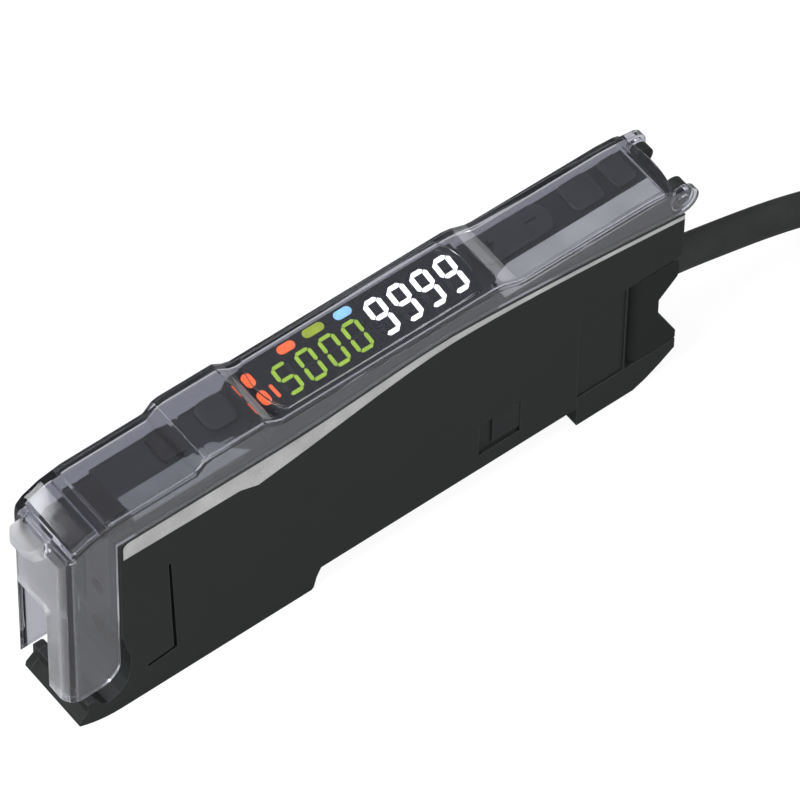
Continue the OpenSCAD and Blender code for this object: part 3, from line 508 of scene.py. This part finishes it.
def engraved_shade_fill(name, outlines, place, face, floor, body, material):
    """Painted shade in shallow engraving: each outline filled from the engraving's floor to just under the
    face.
    """
    corners, faces = [], []
    for outline in outlines:
        first, count = len(corners), len(outline)
        upper, lower = ([first + lift + k for k in range(count)] for lift in (0, count))
        corners += [place(a * MM, b * MM, level * MM) for level in (face, floor) for a, b in outline]
        faces += [upper, lower[::-1]]
        faces += [[upper[k - 1], lower[k - 1], lower[k], upper[k]] for k in range(count)]
    data = bpy.data.meshes.new(name)
    data.from_pydata(corners, [], faces)
    data.materials.append(material)
    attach(add_piece(name, data), body)


def mark_groove_shade(material):
    """Painted shade in the insertion mark on the near side: a long line with a short foot."""
    outline = [(MARK_X + along + SHADE_FILL_GAP * right, rise + SHADE_FILL_GAP * up)
               for (along, rise), (right, up) in MARK_CORNERS]
    engraved_shade_fill("mark_groove_shade", [outline], lambda a, b, level: (a, level, b), MARK_FACE_Y, MARK_FLOOR_Y,
                   "amplifier", material)


def sign_groove_shade(material):
    """Painted shade in the minus and plus on the two ends of the rocker key."""
    low, high = (Vector(corner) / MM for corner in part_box("rocker_key"))
    middle, y, top = (low.x + high.x) / 2, (low.y + high.y) / 2 + SIGN_Y, high.z
    minus, plus = middle + SIGN_X, middle - SIGN_X
    bar = [(minus + SIGN_HALF_L * a, y + SIGN_HALF_W * b) for a, b in SQUARE]
    quarter = [(-SIGN_HALF_L, -SIGN_HALF_W), (-SIGN_HALF_W, -SIGN_HALF_W), (-SIGN_HALF_W, -SIGN_HALF_L)]
    cross = []
    for _ in range(4):
        cross += [(plus + a, y + b) for a, b in quarter]
        quarter = [(-b, a) for a, b in quarter]
    engraved_shade_fill("sign_groove_shade", [bar, cross], lambda a, b, level: (a, b, level), top - SIGN_FACE,
                   top - SIGN_FLOOR, "rocker", material)


def bars_of(mesh):
    """The separate bars of a readout, each as its faces: faces with a corner at one place belong together."""
    home = {}

    def root(corner):
        while home.setdefault(corner, corner) != corner:
            corner = home[corner]
        return corner

    places = [tuple(round(c / MM, 3) for c in vertex.co) for vertex in mesh.vertices]
    for face in mesh.polygons:
        for corner in face.vertices:
            home[root(places[corner])] = root(places[face.vertices[0]])
    bars = {}
    for face in mesh.polygons:
        bars.setdefault(root(places[face.vertices[0]]), []).append(face)
    return bars.values()


def bar_name(across, rise):
    """Which of a digit's seven bars lies at this place from its middle."""
    if abs(across) < MIDDLE_REACH:
        return "middle" if abs(rise) < MIDDLE_REACH else "top" if rise > 0 else "bottom"
    return ("upper" if rise > 0 else "lower") + ("_left" if across < 0 else "_right")


def light_readout(name, first_x, middle_y, bright, dark, dark_bars):
    """Lights a four-digit readout, but for the bars that each digit leaves dark."""
    dress(bright, name)
    mesh = nodes[name].data
    mesh.materials.append(dark)
    for bar in bars_of(mesh):
        center = sum((face.center for face in bar), Vector()) / len(bar)
        rise = center.y - middle_y
        along = center.x - first_x - DIGIT_LEAN * rise
        digit = round(along / DIGIT_PITCH)
        slot = int(bar_name(along - digit * DIGIT_PITCH, rise) in dark_bars[digit])
        for face in bar:
            face.material_index = slot


def studio_floor():
    """A pale floor that looks white with a soft shadow, and throws little light back up."""
    material, tree, shader = finish_of("studio_floor")
    tree.nodes.remove(shader)
    paper = put(tree, "ShaderNodeBsdfDiffuse", {"Color": tint(*FLOOR_PAPER)}).outputs[0]
    white = put(tree, "ShaderNodeEmission", {"Color": tint(1, 1, 1), "Strength": FLOOR_WHITE}).outputs[0]
    dim = put(tree, "ShaderNodeBsdfDiffuse", {"Color": tint(*FLOOR_DIM)}).outputs[0]
    path = put(tree, "ShaderNodeLightPath").outputs
    through = reckon(tree, "MAXIMUM", path["Is Camera Ray"], path["Is Transmission Ray"])
    seen = reckon(tree, "MULTIPLY_ADD", path["Is Glossy Ray"], FLOOR_MIRRORED, through, use_clamp=True)
    surface = mix_shader(tree, seen, dim, mix_shader(tree, FLOOR_GLOW, paper, white))
    fill(tree, tree.nodes["Material Output"], {"Surface": surface})
    data = bpy.data.meshes.new("studio_floor")
    data.from_pydata([(FLOOR_REACH * a, FLOOR_REACH * b, FLOOR_Z) for a, b in SQUARE], [], [(0, 1, 2, 3)])
    data.materials.append(material)
    add_piece("studio_floor", data)


def soft_boxes():
    """Square lamps, each turned to the object."""
    for name, place, size, power in SOFT_BOXES:
        lamp = bpy.data.lights.new(name, "AREA")
        lamp.shape = "SQUARE"
        lamp.size = size
        lamp.energy = power
        box = add_piece(name, lamp)
        box.location = place
        box.rotation_euler = Vector(place).to_track_quat("Z", "Y").to_euler()


def studio_sky():
    """A sky that is white where it is seen, dimmer as light, and dimmest in reflections."""
    world = bpy.data.worlds.new("studio")
    world.use_nodes = True
    sky = world.node_tree
    path = put(sky, "ShaderNodeLightPath").outputs
    level = remap(sky, path["Is Glossy Ray"], (0, 1), (WORLD_LEVEL, MIRRORED_LEVEL))
    seen = reckon(sky, "MAXIMUM", path["Is Camera Ray"], path["Is Transmission Ray"])
    fill(sky, sky.nodes["Background"], {"Color": tint(1, 1, 1),
                                        "Strength": reckon(sky, "MAXIMUM", level, seen)})
    bpy.context.scene.world = world
    bpy.context.scene.view_settings.view_transform = "Standard"


photo_camera()
cable_cord(moulding("cable_jacket", (0.044, 0.047, 0.046), (0.05, 0.05, 0.05), roughness=0.6, gloss=0.1,
                    pits=3500, depth=0.05))

# Case, bush, side bands and panes, and the painted shade in the engravings
# the pale edge colour below is partly wear and partly painted highlight along edges and seams
dress(moulding("case_plastic", (0.0245, 0.027, 0.0265), (0.12, 0.124, 0.126), gloss=0.06),
      "case_body", "side_cover", "rail_latch")
dress(moulding("bush_plastic", (0.016, 0.018, 0.0175), (0.07, 0.073, 0.075), gloss=0.06), "cable_bush")
# painted shade: a black fill in the engraved mark and signs
groove_shade_black = moulding("groove_shade_black", (0.0015, 0.0015, 0.0015), (0.003, 0.003, 0.003), roughness=0.6,
                       gloss=0.02, edge=0.05, dust=0)
mark_groove_shade(groove_shade_black)
sign_groove_shade(groove_shade_black)
dress(silver_band(), "trim_band_near", "trim_band_far")
dress(polished_pane("dark_pane", (0.016, 0.017, 0.018), roughness=0.3, gloss=0.1),
      "port_window_near", "port_window_far")

# Top panel, keys and label strips under the cover
dress(moulding("panel_plastic", (0.018, 0.02, 0.021), (0.06, 0.06, 0.06), roughness=0.5), "top_panel")
dress(moulding("key_plastic", (0.026, 0.028, 0.029), (0.1, 0.1, 0.1), roughness=0.42, gloss=0.3, edge=0.35),
      "rocker_key", "mode_key", "contact_key", "tune_key")
dress(label_film("grey_film", pale=(0.61, 0.62, 0.57), deep=(0.5, 0.51, 0.47)), "label_strip_rear")
dress(label_film("dark_film", pale=(0.25, 0.265, 0.255), deep=(0.2, 0.21, 0.205)), "label_strip_front")
dress(smoked_cover(), "protective_cover")

# Display and lamps
dress(polished_pane("display_pane", (0.010, 0.011, 0.014), roughness=0.12, gloss=0.25), "display_window")
unlit_bar = polished_pane("unlit_bar", (0.02, 0.02, 0.024), roughness=0.3, gloss=0.2)
white_light = lit("white_light", (1, 1, 1), strength=2.6)
green_light = lit("green_light", (0.27, 0.43, 0.035), strength=1.9)
light_readout("big_digits", BIG_X, BIG_Y, white_light, unlit_bar, NINES)
light_readout("small_digits", SMALL_X, SMALL_Y, green_light, unlit_bar, FIVE_THOUSAND)
dress(lit("orange_light", (1.0, 0.13, 0.035), strength=1.9), "output_lamps", "bar_lamp", "mode_lamp")
dress(lit("lime_light", (0.29, 0.37, 0.025), strength=1.5), "power_lamp")
dress(lit("blue_light", (0.25, 0.52, 0.8), strength=1.8), "status_lamp")

# Visor, lock and what the case holds
dress(moulding("black_plastic", (0.007, 0.007, 0.008), (0.03, 0.03, 0.03), roughness=0.35, gloss=0.3),
      "front_hood", "fibre_block", "fibre_lock", "board_chips")
dress(moulding("white_plastic", (0.72, 0.72, 0.69), (0.8, 0.8, 0.8)), "display_block", "key_switches")
dress(circuit_board(), "key_board", "main_board")
dress(resin_can("clear_resin", (0.8, 0.8, 0.85), clearness=0.9), "light_emitter")
dress(resin_can("dark_resin", (0.12, 0.09, 0.13), clearness=0.4), "light_receiver")

# Tie and stripped cores of the cable
dress(moulding("strap_nylon", (0.012, 0.012, 0.012), (0.03, 0.03, 0.03), roughness=0.5, gloss=0.3, pits=2500,
               depth=0.06), "hank_tie")
for hue, color in CORES.items():
    dress(moulding("core_" + hue, color, color, roughness=0.4, gloss=0.4), "core_" + hue)

studio_floor()
soft_boxes()
studio_sky()
